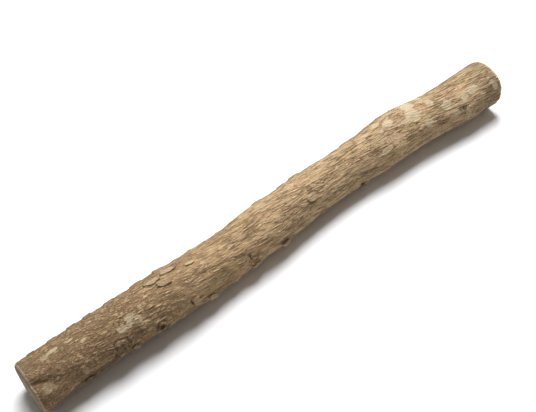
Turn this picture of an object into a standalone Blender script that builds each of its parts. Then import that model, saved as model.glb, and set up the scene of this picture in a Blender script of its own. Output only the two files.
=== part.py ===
"""A miswak stick: one sawn length of root in its own bark, lying on its side.

The stick runs along X, with its thick end at -X, and rests on z = 0 with its box centred over
the origin. A place on the bark is given as (x, turn): x along the stick, and turn in degrees
round it, from straight up (0) over the front at -Y (90) to straight down (180).
"""

import bmesh
import bpy
import numpy as np
from mathutils import Matrix, noise

MM = 0.001

# The whole stick
LENGTH = 150 * MM
MEAN_RADIUS = 6.75 * MM
# (x, sideways offset) of the centre line: the root is nearly straight, then bows and comes back
BOW = [(-75, 0), (-58, 0.4), (-40, 0.15), (-24, 0), (-10, 0.65), (6, 1.6), (20, 2.45), (34, 2.4)]
BOW += [(49, 2.05), (60, 0.8), (75, 0)]
# (x, radius) of the bark
GIRTH = [(-75, 7.3), (-64, 7.15), (-50, 7.1), (-34, 7.1), (-22, 6.85), (-10, 6.6), (0, 6.8)]
GIRTH += [(8, 6.5), (22, 6.2), (31, 6.25), (40, 6.6), (56, 6.5), (75, 6.7)]

# The two sawn ends
THIN_SLOPE = 0.24  # how far the thin end's cut leans, as a rise over a run
THIN_LEAN_TURN = 20  # the side that this cut leaves longest, in degrees
THICK_SLOPE = 0.12
THICK_LEAN_TURN = 198
SAW_REACH = 14 * MM  # how far back from a cut the rings begin to lean
THIN_RIM_BEVEL = 0.6 * MM
THICK_RIM_BEVEL = 1.1 * MM
PRESS = 0.22 * MM  # how much of the underside is worn flat, where the stick lies
LEVEL = 0.07 * MM  # what is this close to the table lies on it

# How the grain winds round the stick, in degrees per millimetre
GRAIN_TWIST = 0.9

# The mesh: a fine bar is shaped first, and then thinned to what a faceted solid can hold
AROUND = 140
ALONG = 330
FACES_KEPT = 9400
SHARP_ANGLE = np.radians(50)

# Raised scales of cork: x, turn, length, width, slant in degrees, height, all but the angles in mm
SCALES = [
    (-30.2, -17, 4.2, 1.4, 4, 0.34),
    (-35.2, -12, 4.2, 1.5, 2, 0.36),
    (-33.0, 6, 3.2, 1.7, 12, 0.30),
    (-24.6, -2, 2.6, 1.2, 6, 0.28),
    (-42.4, 58, 3.4, 1.8, 10, 0.30),
    (12.5, 42, 2.6, 2.0, 0, 0.32),
    (37.7, 53, 3.6, 1.3, -12, 0.26),
    (-28.2, 84, 2.0, 3.2, 0, 0.38),
    (64.6, 74, 1.4, 4.0, 0, 0.26),
    (-61.0, 101, 3.4, 1.6, 0, 0.36),
    (-47.2, 103, 2.4, 2.0, 12, 0.40),
    (-23.5, 102, 2.8, 2.2, 0, 0.55),
    (-9.2, 103, 2.8, 2.2, -8, 0.50),
    (0.6, 103, 2.4, 1.8, 0, 0.55),
    (28.4, 106, 1.6, 1.4, 0, 0.60),
    (20.0, 205, 4.2, 1.8, 8, 0.36),
    (-14.0, 236, 3.6, 2.2, -10, 0.34),
    (-52.0, 252, 4.6, 1.7, 5, 0.38),
    (47.0, 262, 3.4, 1.6, 12, 0.32),
]

# Knots, where rootlets broke off and the bark wrinkled: x, turn, radius, height
KNOTS = [
    (-49.9, 72, 3.0, 0.60),
    (-38.9, 86, 2.2, 0.60),
    (-9.6, 86, 2.4, 0.50),
    (13.2, 22, 1.3, 0.22),
    (-31.0, 50, 2.2, 0.20),
    (33.0, 222, 2.6, 0.55),
    (-22.0, 282, 2.0, 0.40),
]

FOLDS = 2.3  # how many wrinkles a knot has, from its middle to its edge

# Swellings that show on the outline: x, turn, half length, half width, height
SWELLINGS = [
    (12.0, -50, 4.5, 2.6, 0.40),
    (-33.5, -46, 4.0, 2.6, 0.35),
    (-7.4, -54, 5.0, 3.0, 0.25),
    (45.0, -52, 5.0, 3.0, 0.25),
    (-60.0, 112, 5.0, 2.5, 0.25),
    (-38.0, 106, 2.4, 2.0, 0.40),
    (-23.5, 112, 3.0, 2.0, 0.25),
    (-16.0, 108, 1.5, 1.5, 0.40),
    (-9.5, 112, 2.0, 2.0, 0.25),
    (0.5, 112, 2.0, 1.8, 0.25),
    (36.0, 108, 2.4, 1.6, 0.35),
    (62.0, 108, 3.0, 1.8, 0.35),
    (-40.0, 112, 20.0, 3.5, -0.28),
    (49.5, 3, 3.0, 2.0, 0.12),
    (58.9, 29, 2.0, 1.6, 0.10),
    (-71.5, 78, 4.0, 3.2, 0.50),
    (-71.0, 112, 5.0, 3.2, 0.40),
]

# Valleys, where the root is lobed: a line of (x, turn), depth and half width
VALLEYS = [
    ([(-76, 26), (-72, 36), (-68, 50), (-62, 66)], 0.45, 1.30),
]

# Open cracks as lines of (x, turn), each with its depth and half width
CREASES = [
    ([(-75.5, 29), (-73, 35), (-70.5, 43)], 0.30, 0.45),
    ([(-29.6, 74), (-29.3, 92)], 0.45, 0.35),
    ([(-10.4, 62), (-10.2, 80)], 0.45, 0.40),
    ([(-39.8, 78), (-40.4, 90)], 0.45, 0.35),
    ([(-52.6, 82), (-52.2, 97)], 0.50, 0.45),
    ([(63.2, 54), (62.7, 66), (63.3, 84)], 0.28, 0.22),
    ([(8, 178), (21, 168)], 0.40, 0.45),
    ([(-58, 214), (-46, 226)], 0.45, 0.45),
]


def ease(t):
    """0 below 0, 1 above 1, and a smooth rise between."""
    t = np.clip(t, 0, 1)
    return t * t * (3 - 2 * t)


def through(points, x):
    """A smooth line through points given in mm, read at x in metres, in metres."""
    px, py = np.array(points, float).T * MM
    slope = np.gradient(py, px)
    i = np.clip(np.searchsorted(px, x) - 1, 0, len(px) - 2)
    step = px[i + 1] - px[i]
    t = np.clip((x - px[i]) / step, 0, 1)
    start = py[i] * (1 + 2 * t) + slope[i] * step * t
    end = py[i + 1] * (3 - 2 * t) - slope[i + 1] * step * (1 - t)
    return start * (1 - t) ** 2 + end * t**2


def offsets(x, turn, at_x, at_turn):
    """How far each point is from one place on the bark: along the stick, and round it."""
    angle = (turn - np.radians(at_turn) + np.pi) % (2 * np.pi) - np.pi
    return x - at_x * MM, angle * MEAN_RADIUS


def grain_noise(x, turn, along, around, seed):
    """Noise stretched along the grain, from -1 to 1; along and around are its sizes in mm."""
    turned = turn - np.radians(GRAIN_TWIST) * x / MM
    points = np.stack(
        [
            x / (along * MM) + seed,
            np.cos(turned) * MEAN_RADIUS / (around * MM) + seed,
            np.sin(turned) * MEAN_RADIUS / (around * MM),
        ],
        axis=-1,
    )
    return np.array([noise.noise(p) for p in points])


def ridges(x, turn):
    """Lumps, long flutes and shorter ridges of the bark."""
    lumps = 0.22 * MM * grain_noise(x, turn, 15, 6, 3.7)
    flutes = 0.13 * MM * grain_noise(x, turn, 10, 2.4, 11.3)
    cords = 1 - np.abs(grain_noise(x, turn, 6, 1.5, 21.9)) / 0.35
    return lumps + flutes - 0.08 * MM * ease(cords)


def scale(x, turn, at_x, at_turn, length, width, slant, height):
    """A cork scale: a low plate with a steep edge and a lifted rim."""
    dx, da = offsets(x, turn, at_x, at_turn)
    c, s = np.cos(np.radians(slant)), np.sin(np.radians(slant))
    u = (dx * c + da * s) / (length / 2 * MM)
    v = (da * c - dx * s) / (width / 2 * MM)
    reach = np.hypot(u, v)
    return height * MM * ease((1.15 - reach) / 0.3) * (0.75 + 0.25 * np.clip(reach, 0, 1) ** 2)


def knot(x, turn, at_x, at_turn, radius, height, wobble):
    """A low dome with wrinkles round a sunken middle."""
    reach = np.hypot(*offsets(x, turn, at_x, at_turn)) / (radius * MM) * (1 + 0.3 * wobble)
    dome = ease(1.25 - reach)
    wrinkles = 0.45 * np.cos(2 * np.pi * reach * FOLDS) * dome
    return height * MM * (dome + wrinkles - 1.3 * np.exp(-((reach / 0.22) ** 2)))


def swelling(x, turn, at_x, at_turn, half_length, half_width, height):
    """A smooth rise in the bark."""
    dx, da = offsets(x, turn, at_x, at_turn)
    return height * MM * np.exp(-((dx / (half_length * MM)) ** 2) - (da / (half_width * MM)) ** 2)


def crease(x, turn, line, depth, half_width, wobble):
    """A crack or a valley along a line of places, as a height below the bark."""
    nearest = np.full(len(x), np.inf)
    for (x0, turn0), (x1, turn1) in zip(line, line[1:]):
        dx, da = offsets(x, turn, x0, turn0)
        run, rise = (x1 - x0) * MM, np.radians(turn1 - turn0) * MEAN_RADIUS
        t = np.clip((dx * run + da * rise) / (run**2 + rise**2), 0, 1)
        nearest = np.minimum(nearest, np.hypot(dx - t * run, da - t * rise))
    wide = half_width * MM * (1 + 0.3 * wobble)
    return -depth * MM * ease(1 - nearest / (1.6 * wide))


def bark_radius(x, turn):
    """Distance from the centre line to the bark at each (x, turn)."""
    wobble = grain_noise(x, turn, 2, 1, 5.1)
    oval = 0.13 * MM * np.cos(2 * (turn - 0.7)) + 0.09 * MM * np.cos(3 * turn + x / (30 * MM))
    radius = through(GIRTH, x) + oval + ridges(x, turn)
    for values in SCALES:
        radius += scale(x, turn, *values)
    for values in KNOTS:
        radius += knot(x, turn, *values, wobble)
    for values in SWELLINGS:
        radius += swelling(x, turn, *values)
    for values in VALLEYS + CREASES:
        radius += crease(x, turn, *values, wobble)
    return radius


def round_bar():
    """A plain round bar along X: bevelled at both cuts, and ringed along its length."""
    bm = bmesh.new()
    bmesh.ops.create_cone(
        bm, cap_ends=True, segments=AROUND, radius1=MEAN_RADIUS, radius2=MEAN_RADIUS, depth=LENGTH
    )
    bmesh.ops.rotate(bm, verts=bm.verts, matrix=Matrix.Rotation(np.pi / 2, 3, "Y"))
    for side, worn in ((1, THIN_RIM_BEVEL), (-1, THICK_RIM_BEVEL)):
        rim = [e for e in bm.edges if min(v.co.x * side for v in e.verts) > 0]
        bmesh.ops.bevel(
            bm, geom=rim, offset=worn, segments=3, profile=0.5, affect="EDGES", material=-1
        )
    lengthwise = [e for e in bm.edges if e.verts[0].co.x * e.verts[1].co.x < 0]
    bmesh.ops.subdivide_edges(bm, edges=lengthwise, cuts=ALONG, use_grid_fill=True)
    return bm


def lean_of_cuts(x, turn):
    """How far the rings lean along the stick near each cut, as a share of their radius."""
    thin = THIN_SLOPE * ease((x - LENGTH / 2 + SAW_REACH) / SAW_REACH)
    thick = THICK_SLOPE * ease((SAW_REACH - LENGTH / 2 - x) / SAW_REACH)
    leaning = thin * np.cos(turn - np.radians(THIN_LEAN_TURN))
    return leaning - thick * np.cos(turn - np.radians(THICK_LEAN_TURN))


def shape_bark(bm):
    """Moves the bar's points out to the bark, leans its cuts and bends the bar."""
    points = np.array([v.co for v in bm.verts])
    x, y, z = points.T
    turn = np.arctan2(-y, z)
    share = np.hypot(y, z) / MEAN_RADIUS
    radius = bark_radius(x, turn) * share
    shaped_x = x + lean_of_cuts(x, turn) * radius
    shaped_y = through(BOW, x) - radius * np.sin(turn)
    shaped_z = through(GIRTH, x) + radius * np.cos(turn) - PRESS
    for vert, place in zip(bm.verts, np.stack([shaped_x, shaped_y, shaped_z], axis=-1)):
        vert.co = place


def flatten_underside(bm):
    """What would reach below the table, or all but touches it, is pressed level with it."""
    for vert in bm.verts:
        if vert.co.z < LEVEL:
            vert.co.z = 0


def centre_over_origin(bm):
    """Puts the middle of the stick's box over the origin."""
    points = np.array([v.co for v in bm.verts])
    middle = (points.min(axis=0) + points.max(axis=0)) / 2
    bmesh.ops.translate(bm, verts=bm.verts, vec=(-middle[0], -middle[1], 0))


def mesh_of(bm, name):
    mesh = bpy.data.meshes.new(name)
    bm.to_mesh(mesh)
    bm.free()
    return mesh


def thinned(mesh):
    """The same form in about FACES_KEPT triangles, kept where the bark is roughest."""
    fine = bpy.data.objects.new("fine_bark", mesh)
    bpy.context.scene.collection.objects.link(fine)
    thin = fine.modifiers.new("Thin", "DECIMATE")
    mesh.calc_loop_triangles()
    thin.ratio = FACES_KEPT / len(mesh.loop_triangles)
    graph = bpy.context.evaluated_depsgraph_get()
    kept = bpy.data.meshes.new_from_object(fine.evaluated_get(graph))
    bpy.data.objects.remove(fine)
    return kept


def bark_material():
    """Dry tan bark, as it looks from a step away."""
    material = bpy.data.materials.new("root_bark")
    material.use_nodes = True
    shader = material.node_tree.nodes["Principled BSDF"]
    shader.inputs["Base Color"].default_value = (0.42, 0.30, 0.18, 1)
    shader.inputs["Roughness"].default_value = 0.9
    shader.inputs["Metallic"].default_value = 0
    return material


def build_stick():
    bm = round_bar()
    shape_bark(bm)
    flatten_underside(bm)
    bm_thin = bmesh.new()
    bm_thin.from_mesh(thinned(mesh_of(bm, "fine_bark")))
    flatten_underside(bm_thin)
    centre_over_origin(bm_thin)
    bmesh.ops.triangulate(bm_thin, faces=bm_thin.faces)
    stick = bpy.data.objects.new("miswak_stick", mesh_of(bm_thin, "miswak_stick"))
    stick.data.materials.append(bark_material())
    stick.data.shade_smooth()
    stick.data.set_sharp_from_angle(angle=SHARP_ANGLE)
    collection = bpy.data.collections.new("miswak_stick")
    bpy.context.scene.collection.children.link(collection)
    collection.objects.link(stick)


for old in list(bpy.data.objects):
    bpy.data.objects.remove(old)
build_stick()
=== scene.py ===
# %% [markdown]
# # A stick of miswak
# Miswak is a root that people chew at one end until its fibres spread into a brush. This stick is
# still whole: one length of root, as thick as a finger, sawn at both ends and left in its bark.
# It grew as one piece, so one mesh makes it here too. The lesson takes a plain bar, moves its
# points out to the bark by a few formulas, and lets the same formulas tell the material where a
# crack, a scar or a sawn edge is. Shape and colour then always agree.

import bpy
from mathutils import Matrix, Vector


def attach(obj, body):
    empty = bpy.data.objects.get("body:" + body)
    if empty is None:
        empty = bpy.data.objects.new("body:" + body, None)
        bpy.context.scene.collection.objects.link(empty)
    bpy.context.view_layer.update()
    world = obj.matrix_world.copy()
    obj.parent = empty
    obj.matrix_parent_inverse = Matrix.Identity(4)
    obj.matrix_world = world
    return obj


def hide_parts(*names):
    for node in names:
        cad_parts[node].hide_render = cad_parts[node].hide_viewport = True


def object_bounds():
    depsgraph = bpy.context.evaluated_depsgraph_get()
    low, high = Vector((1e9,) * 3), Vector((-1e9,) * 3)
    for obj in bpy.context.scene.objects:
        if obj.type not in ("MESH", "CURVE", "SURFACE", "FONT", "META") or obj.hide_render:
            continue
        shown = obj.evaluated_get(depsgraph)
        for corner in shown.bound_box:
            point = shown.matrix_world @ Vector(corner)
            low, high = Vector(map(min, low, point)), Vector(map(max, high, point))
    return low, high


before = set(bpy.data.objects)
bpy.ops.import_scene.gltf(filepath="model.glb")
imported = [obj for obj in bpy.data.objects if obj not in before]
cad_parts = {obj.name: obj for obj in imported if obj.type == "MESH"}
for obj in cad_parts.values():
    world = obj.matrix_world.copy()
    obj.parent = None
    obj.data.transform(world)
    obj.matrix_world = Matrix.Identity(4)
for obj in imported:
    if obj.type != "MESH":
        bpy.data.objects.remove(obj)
cad_box = [list(corner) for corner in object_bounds()]
print("the plain solid spans", [round(high - low, 5) for low, high in zip(*cad_box)], "m")

# %% Tools and units
from random import Random

import bmesh
import bpy
import numpy as np
from mathutils import Euler, Matrix, Vector, noise

MM = 0.001

# %% [markdown]
# ## The measures of the root
# A place on the bark is given as (x, turn): x in mm along the stick from its middle, and turn in
# degrees round it, from straight up (0) over the front (90) to straight down (180). The root's
# line and its girth are a few (x, value) pairs with a smooth curve through them, because a real
# root swells and bows slowly. More pairs would show nothing more.

# %% Length, line and girth
ROOT_LENGTH = 150 * MM
MEAN_RADIUS = 6.75 * MM
BOW = [(-75, 0), (-58, 0.4), (-40, 0.15), (-24, 0), (-10, 0.65), (6, 1.6), (20, 2.45), (34, 2.4)]
BOW += [(49, 2.05), (60, 0.8), (75, 0)]
GIRTH = [(-75, 7.3), (-64, 7.15), (-50, 7.1), (-34, 7.1), (-22, 6.85), (-10, 6.6), (0, 6.8)]
GIRTH += [(8, 6.5), (22, 6.2), (31, 6.25), (40, 6.6), (56, 6.5), (75, 6.7)]
PRESS = 0.22 * MM
GRAIN_TWIST = 0.9


def ease(t):
    """0 below 0, 1 above 1, and a smooth rise between."""
    t = np.clip(t, 0, 1)
    return t * t * (3 - 2 * t)


def through(points, x):
    """A smooth line through points given in mm, read at x in metres, in metres."""
    px, py = np.array(points, float).T * MM
    slope = np.gradient(py, px)
    i = np.clip(np.searchsorted(px, x) - 1, 0, len(px) - 2)
    step = px[i + 1] - px[i]
    t = np.clip((x - px[i]) / step, 0, 1)
    start = py[i] * (1 + 2 * t) + slope[i] * step * t
    end = py[i + 1] * (3 - 2 * t) - slope[i + 1] * step * (1 - t)
    return start * (1 - t) ** 2 + end * t**2


# %% [markdown]
# ## What grows on the bark
# Each lump, scale, knot and crack that the eye finds on the stick is one line in a list: where it
# is, how large, how high. A painter would work from the same notes. The lists could be random,
# but then the stick would be any stick, and its knots would sit where no rootlet ever grew.

# %% Scales of cork: x, turn, length, width, slant in degrees, height, all but the angles in mm
SCALES = [
    (-30.2, -17, 4.2, 1.4, 4, 0.34),
    (-35.2, -12, 4.2, 1.5, 2, 0.36),
    (-33.0, 6, 3.2, 1.7, 12, 0.30),
    (-24.6, -2, 2.6, 1.2, 6, 0.28),
    (-42.4, 58, 3.4, 1.8, 10, 0.30),
    (12.5, 42, 2.6, 2.0, 0, 0.32),
    (37.7, 53, 3.6, 1.3, -12, 0.26),
    (-28.2, 84, 2.0, 3.2, 0, 0.38),
    (64.6, 74, 1.4, 4.0, 0, 0.26),
    (-61.0, 101, 3.4, 1.6, 0, 0.36),
    (-47.2, 103, 2.4, 2.0, 12, 0.40),
    (-23.5, 102, 2.8, 2.2, 0, 0.55),
    (-9.2, 103, 2.8, 2.2, -8, 0.50),
    (0.6, 103, 2.4, 1.8, 0, 0.55),
    (28.4, 106, 1.6, 1.4, 0, 0.60),
    (20.0, 205, 4.2, 1.8, 8, 0.36),
    (-14.0, 236, 3.6, 2.2, -10, 0.34),
    (-52.0, 252, 4.6, 1.7, 5, 0.38),
    (47.0, 262, 3.4, 1.6, 12, 0.32),
]

# %% Knots, where rootlets broke off: x, turn, radius, height; the higher, the more wrinkled
KNOTS = [
    (-49.9, 72, 3.0, 0.60),
    (-38.9, 86, 2.2, 0.60),
    (-9.6, 86, 2.4, 0.50),
    (13.2, 22, 1.3, 0.22),
    (-31.0, 50, 2.2, 0.20),
    (33.0, 222, 2.6, 0.55),
    (-22.0, 282, 2.0, 0.40),
]

FOLDS = 2.3  # how many wrinkles a knot has, from its middle to its edge

# %% Swellings and one hollow on the outline: x, turn, half length, half width, height
SWELLINGS = [
    (12.0, -50, 4.5, 2.6, 0.40),
    (-33.5, -46, 4.0, 2.6, 0.35),
    (-7.4, -54, 5.0, 3.0, 0.25),
    (45.0, -52, 5.0, 3.0, 0.25),
    (-60.0, 112, 5.0, 2.5, 0.25),
    (-38.0, 106, 2.4, 2.0, 0.40),
    (-23.5, 112, 3.0, 2.0, 0.25),
    (-16.0, 108, 1.5, 1.5, 0.40),
    (-9.5, 112, 2.0, 2.0, 0.25),
    (0.5, 112, 2.0, 1.8, 0.25),
    (36.0, 108, 2.4, 1.6, 0.35),
    (62.0, 108, 3.0, 1.8, 0.35),
    (-40.0, 112, 20.0, 3.5, -0.28),
    (49.5, 3, 3.0, 2.0, 0.12),
    (58.9, 29, 2.0, 1.6, 0.10),
    (-71.5, 78, 4.0, 3.2, 0.50),
    (-71.0, 112, 5.0, 3.2, 0.40),
]

# %% Valleys, where the root is lobed: a line of (x, turn), depth and half width
VALLEYS = [
    ([(-76, 26), (-72, 36), (-68, 50), (-62, 66)], 0.45, 1.30),
]

# %% Open cracks as lines of (x, turn), each with its depth and half width
CREASES = [
    ([(-75.5, 29), (-73, 35), (-70.5, 43)], 0.30, 0.45),
    ([(-29.6, 74), (-29.3, 92)], 0.45, 0.35),
    ([(-10.4, 62), (-10.2, 80)], 0.45, 0.40),
    ([(-39.8, 78), (-40.4, 90)], 0.45, 0.35),
    ([(-52.6, 82), (-52.2, 97)], 0.50, 0.45),
    ([(63.2, 54), (62.7, 66), (63.3, 84)], 0.28, 0.22),
    ([(8, 178), (21, 168)], 0.40, 0.45),
    ([(-58, 214), (-46, 226)], 0.45, 0.45),
]

# %% [markdown]
# Pale scars are where the thin outer cork has rubbed away, down to cream bark. They are colour
# with almost no height, so they get no lump. What a place needs is its size and its paleness.

# %% Cream scars: x, turn, length, width, paleness from 0 to 1
SCARS = [
    (50.2, -20, 3.4, 4.2, 0.95),
    (49.6, 12, 3.8, 4.6, 1.0),
    (46.6, 19, 2.8, 1.3, 0.8),
    (42.3, -2, 3.0, 2.8, 0.85),
    (39.4, -17, 2.8, 1.5, 0.75),
    (35.3, -13, 2.4, 1.3, 0.6),
    (54.4, -33, 1.8, 2.2, 0.85),
    (55.6, 4, 2.2, 2.6, 0.8),
    (59.0, 32, 3.0, 2.8, 0.8),
    (59.2, 13, 1.4, 0.8, 0.5),
    (52.2, 50, 2.4, 2.3, 0.75),
    (50.0, 48, 1.1, 0.8, 0.65),
    (67.2, 31, 2.8, 2.2, 0.85),
    (64.3, 38, 2.0, 1.8, 0.8),
    (60.6, 62, 2.0, 2.6, 0.6),
    (63.9, 76, 1.3, 4.4, 0.65),
    (68.9, 50, 1.0, 0.9, 0.8),
    (72.2, 27, 0.8, 0.7, 1.0),
    (72.4, 40, 1.4, 1.0, 1.0),
    (72.9, 53, 1.8, 2.3, 0.9),
    (37.7, 53, 4.0, 1.3, 0.7),
    (41.8, 47, 2.0, 1.4, 0.4),
    (39.3, 9, 1.2, 0.9, 0.9),
    (25.2, -25, 0.9, 0.7, 0.9),
    (23.1, 19, 1.1, 0.9, 1.0),
    (32.0, 40, 0.9, 0.8, 0.8),
    (20.0, 75, 1.2, 0.9, 0.6),
    (-0.9, -15, 4.4, 1.9, 0.5),
    (9.9, -17, 2.2, 1.6, 0.5),
    (-13.4, 21, 1.6, 1.1, 0.7),
    (-15.5, 11, 1.4, 1.0, 0.6),
    (-21.9, 15, 1.3, 0.9, 0.65),
    (-20.6, 74, 1.3, 0.9, 0.5),
    (0.4, 72, 1.6, 1.4, 0.35),
    (-45.1, 27, 2.6, 1.6, 0.8),
    (-43.3, 41, 2.4, 2.0, 0.85),
    (-45.7, 38, 1.8, 1.5, 0.85),
    (-48.1, 39, 2.6, 1.8, 0.8),
    (-30.2, -17, 4.2, 1.7, 0.55),
    (-35.2, -12, 4.2, 1.8, 0.50),
    (-33.0, 6, 3.2, 1.9, 0.42),
    (-24.6, -2, 2.6, 1.4, 0.60),
    (-42.4, 58, 3.4, 1.8, 0.30),
    (-28.2, 84, 2.0, 3.2, 0.35),
    (12.5, 42, 2.6, 2.0, 0.35),
    (-23.5, 100, 2.4, 2.0, 0.35),
    (-65.2, -6, 3.6, 1.3, 0.85),
    (-68.0, -3, 2.4, 1.5, 0.6),
    (-60.3, -3, 2.2, 0.9, 0.85),
    (-57.5, 15, 1.5, 0.9, 0.8),
    (-71.2, 52, 2.8, 2.2, 0.45),
    (-72.6, 60, 2.2, 1.4, 0.3),
    (-67.7, 49, 1.0, 0.9, 1.0),
    (-63.7, 61, 1.4, 1.0, 0.45),
    (-60.8, 73, 1.6, 2.4, 0.5),
    (-57.1, 62, 1.0, 0.9, 0.5),
    (-66.0, 96, 1.4, 0.7, 1.0),
    (-51.9, 25, 1.2, 0.8, 0.5),
    (-41.3, 20, 1.2, 0.9, 0.7),
]

# %% Scars on the far side, which nobody sees in the photograph: the same kinds, more thinly spread
SCARS += [
    (57.0, 214, 4.4, 2.6, 0.9),
    (50.0, 246, 2.4, 2.0, 0.75),
    (63.5, 268, 2.6, 1.8, 0.7),
    (44.0, 172, 2.0, 1.6, 0.7),
    (30.0, 251, 1.2, 0.9, 0.8),
    (12.0, 262, 3.2, 1.5, 0.55),
    (-6.0, 205, 1.4, 1.0, 0.65),
    (-19.0, 176, 2.4, 1.5, 0.5),
    (-33.0, 262, 2.6, 2.0, 0.6),
    (-47.0, 198, 1.8, 1.3, 0.55),
    (-61.0, 240, 3.4, 1.6, 0.55),
    (-68.0, 290, 1.6, 1.1, 0.6),
]

# %% Dark stains, holes and painted shade: x, turn, length, width, darkness
STAINS_AND_SHADE = [
    (13.2, 22, 1.8, 2.2, 0.5),
    (10.6, 20, 3.0, 0.9, 0.35),
    (-52.6, 92, 1.6, 1.6, 1.0),
    (-29.4, 80, 0.7, 2.2, 1.0),
    (-9.2, 76, 4.0, 2.6, 0.2),
    (-10.3, 70, 0.7, 2.0, 0.45),
    (-49.9, 72, 7.5, 6.0, 0.22),
    (72.5, 66, 7.0, 12.0, 0.28),
    # A dark gap under the tip's curling bark, partly painted shadow.
    (70.4, 113, 4.0, 2.0, 0.9),
    (62.8, 69, 0.8, 6.0, 0.7),
    (60.0, 86, 30.0, 9.0, 0.2),
    # The next two darken the thick end's lower edge: painted shade of the underside.
    (-57.5, 100, 15.0, 2.4, 0.8),
    (-68.0, 106, 10.0, 2.0, 0.5),
    (-29.0, 104, 8.0, 1.4, 0.5),
    (-44.5, 68, 3.0, 1.4, 0.5),
    (-39.5, 86, 2.6, 1.6, 0.6),
    (-70.5, 40, 7.0, 3.0, 0.35),
    (-72.5, 31, 2.5, 1.0, 0.6),
    (-68.0, 25, 0.9, 0.9, 0.8),
    (-73.2, 24, 1.0, 1.0, 0.7),
    (-73.4, 33, 1.3, 1.0, 0.7),
    (-71.3, 28, 1.6, 0.9, 0.6),
    (-68.8, 50, 1.1, 1.0, 0.7),
    (-67.7, 54, 0.9, 0.8, 0.6),
    (-74.0, 74, 1.4, 1.0, 0.7),
    (-70.2, 110, 3.0, 1.4, 0.6),
    (-66.6, 36, 0.9, 0.9, 0.8),
    (-62.9, 47, 1.0, 0.9, 0.7),
    (-64.8, 55, 0.9, 0.8, 0.6),
    (28.2, 107, 1.8, 1.6, 0.9),
    (0.6, 98, 2.4, 1.2, 0.7),
    (-20.0, 60, 6.0, 3.0, 0.25),
    (33.0, 222, 2.0, 2.0, 0.5),
    (-22.0, 282, 1.6, 1.6, 0.5),
]

# %% [markdown]
# ## From a place to a height
# The helpers below turn one line of a list into a height over the whole bark. All of them take
# arrays, so that each formula runs once for every point of the mesh and stays quick.


# %% How far each point is from a place
def offsets(x, turn, at_x, at_turn):
    """How far each point is from one place on the bark: along the stick, and round it."""
    angle = (turn - np.radians(at_turn) + np.pi) % (2 * np.pi) - np.pi
    return x - at_x * MM, angle * MEAN_RADIUS


def grain_places(x, turn, reach=MEAN_RADIUS):
    """Points on a round bar, with the twist of the grain taken out, in mm."""
    turned = turn - np.radians(GRAIN_TWIST) * x / MM
    return np.stack([x, np.cos(turned) * reach, np.sin(turned) * reach], axis=-1) / MM


def grain_noise(x, turn, along, around, seed):
    """Noise stretched along the grain, from -1 to 1; along and around are its sizes in mm."""
    points = grain_places(x, turn) / (along, around, around) + (seed, seed, 0)
    return np.array([noise.noise(p) for p in points])


# %% Scales, knots, swellings and cracks
def scale(x, turn, at_x, at_turn, length, width, slant, height):
    """A cork scale: a low plate with a steep edge and a lifted rim; and its reach."""
    dx, da = offsets(x, turn, at_x, at_turn)
    c, s = np.cos(np.radians(slant)), np.sin(np.radians(slant))
    u = (dx * c + da * s) / (length / 2 * MM)
    v = (da * c - dx * s) / (width / 2 * MM)
    reach = np.hypot(u, v)
    plate = ease((1.15 - reach) / 0.3) * (0.75 + 0.25 * np.clip(reach, 0, 1) ** 2)
    return height * MM * plate, reach


def knot(x, turn, at_x, at_turn, radius, height, wobble):
    """A low dome with wrinkles round a sunken middle; and its reach."""
    reach = np.hypot(*offsets(x, turn, at_x, at_turn)) / (radius * MM) * (1 + 0.3 * wobble)
    dome = ease(1.25 - reach)
    wrinkles = 0.45 * np.cos(2 * np.pi * reach * FOLDS) * dome
    return height * MM * (dome + wrinkles - 1.3 * np.exp(-((reach / 0.22) ** 2))), reach


def swelling(x, turn, at_x, at_turn, half_length, half_width, height):
    """A smooth rise in the bark."""
    dx, da = offsets(x, turn, at_x, at_turn)
    return height * MM * np.exp(-((dx / (half_length * MM)) ** 2) - (da / (half_width * MM)) ** 2)


def crease(x, turn, line, depth, half_width, wobble):
    """A crack or a valley along a line of places, as a height; and the distance from it."""
    nearest = np.full(len(x), np.inf)
    for (x0, turn0), (x1, turn1) in zip(line, line[1:]):
        dx, da = offsets(x, turn, x0, turn0)
        run, rise = (x1 - x0) * MM, np.radians(turn1 - turn0) * MEAN_RADIUS
        t = np.clip((dx * run + da * rise) / (run**2 + rise**2), 0, 1)
        nearest = np.minimum(nearest, np.hypot(dx - t * run, da - t * rise))
    wide = half_width * MM * (1 + 0.3 * wobble)
    return -depth * MM * ease(1 - nearest / (1.6 * wide)), nearest / wide


# %% [markdown]
# ## The bark's own surface
# Root bark shrinks as it dries, and tears into narrow strips that follow the grain. Noise drawn
# out along the grain gives those tears: where it passes through zero, it draws long wavy lines
# that join and part as the real ones do. One side of each tear curls up a little and catches
# the light. A second, broader noise says where the tears gape and where the bark is still whole.
# A cell pattern would do as well, but its cracks cross the grain too often.

# %% Long ridges, shared with the plain solid
LUMP_HEIGHT = 0.22 * MM
FLUTE_HEIGHT = 0.13 * MM
FURROW_DEPTH = 0.08 * MM


def ridges(x, turn):
    """Slow lumps and flutes, and the thin furrows between the cords of bark."""
    lumps = LUMP_HEIGHT * grain_noise(x, turn, 15, 6, 3.7)
    flutes = FLUTE_HEIGHT * grain_noise(x, turn, 10, 2.4, 11.3)
    cords = 1 - np.abs(grain_noise(x, turn, 6, 1.5, 21.9)) / 0.35
    return lumps + flutes - FURROW_DEPTH * ease(cords)


# %% Tears along the grain
TEAR_DEPTH = 0.07 * MM
TEAR_LIFT = 0.05 * MM
PITTING = 0.025 * MM


def tears(x, turn):
    """The tears' relief, the noise that is 0 along them, and how far they gape, from 0 to 1."""
    line = grain_noise(x, turn, 6, 0.42, 33) + 0.3 * grain_noise(x, turn, 1.6, 0.4, 44)
    gape = ease(0.5 + 1.3 * grain_noise(x, turn, 3.4, 0.9, 57))
    groove = np.exp(-((line / 0.15) ** 2))
    curl = np.exp(-(((line - 0.32) / 0.2) ** 2))
    return gape * (TEAR_LIFT * curl - TEAR_DEPTH * groove), line, gape


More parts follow.
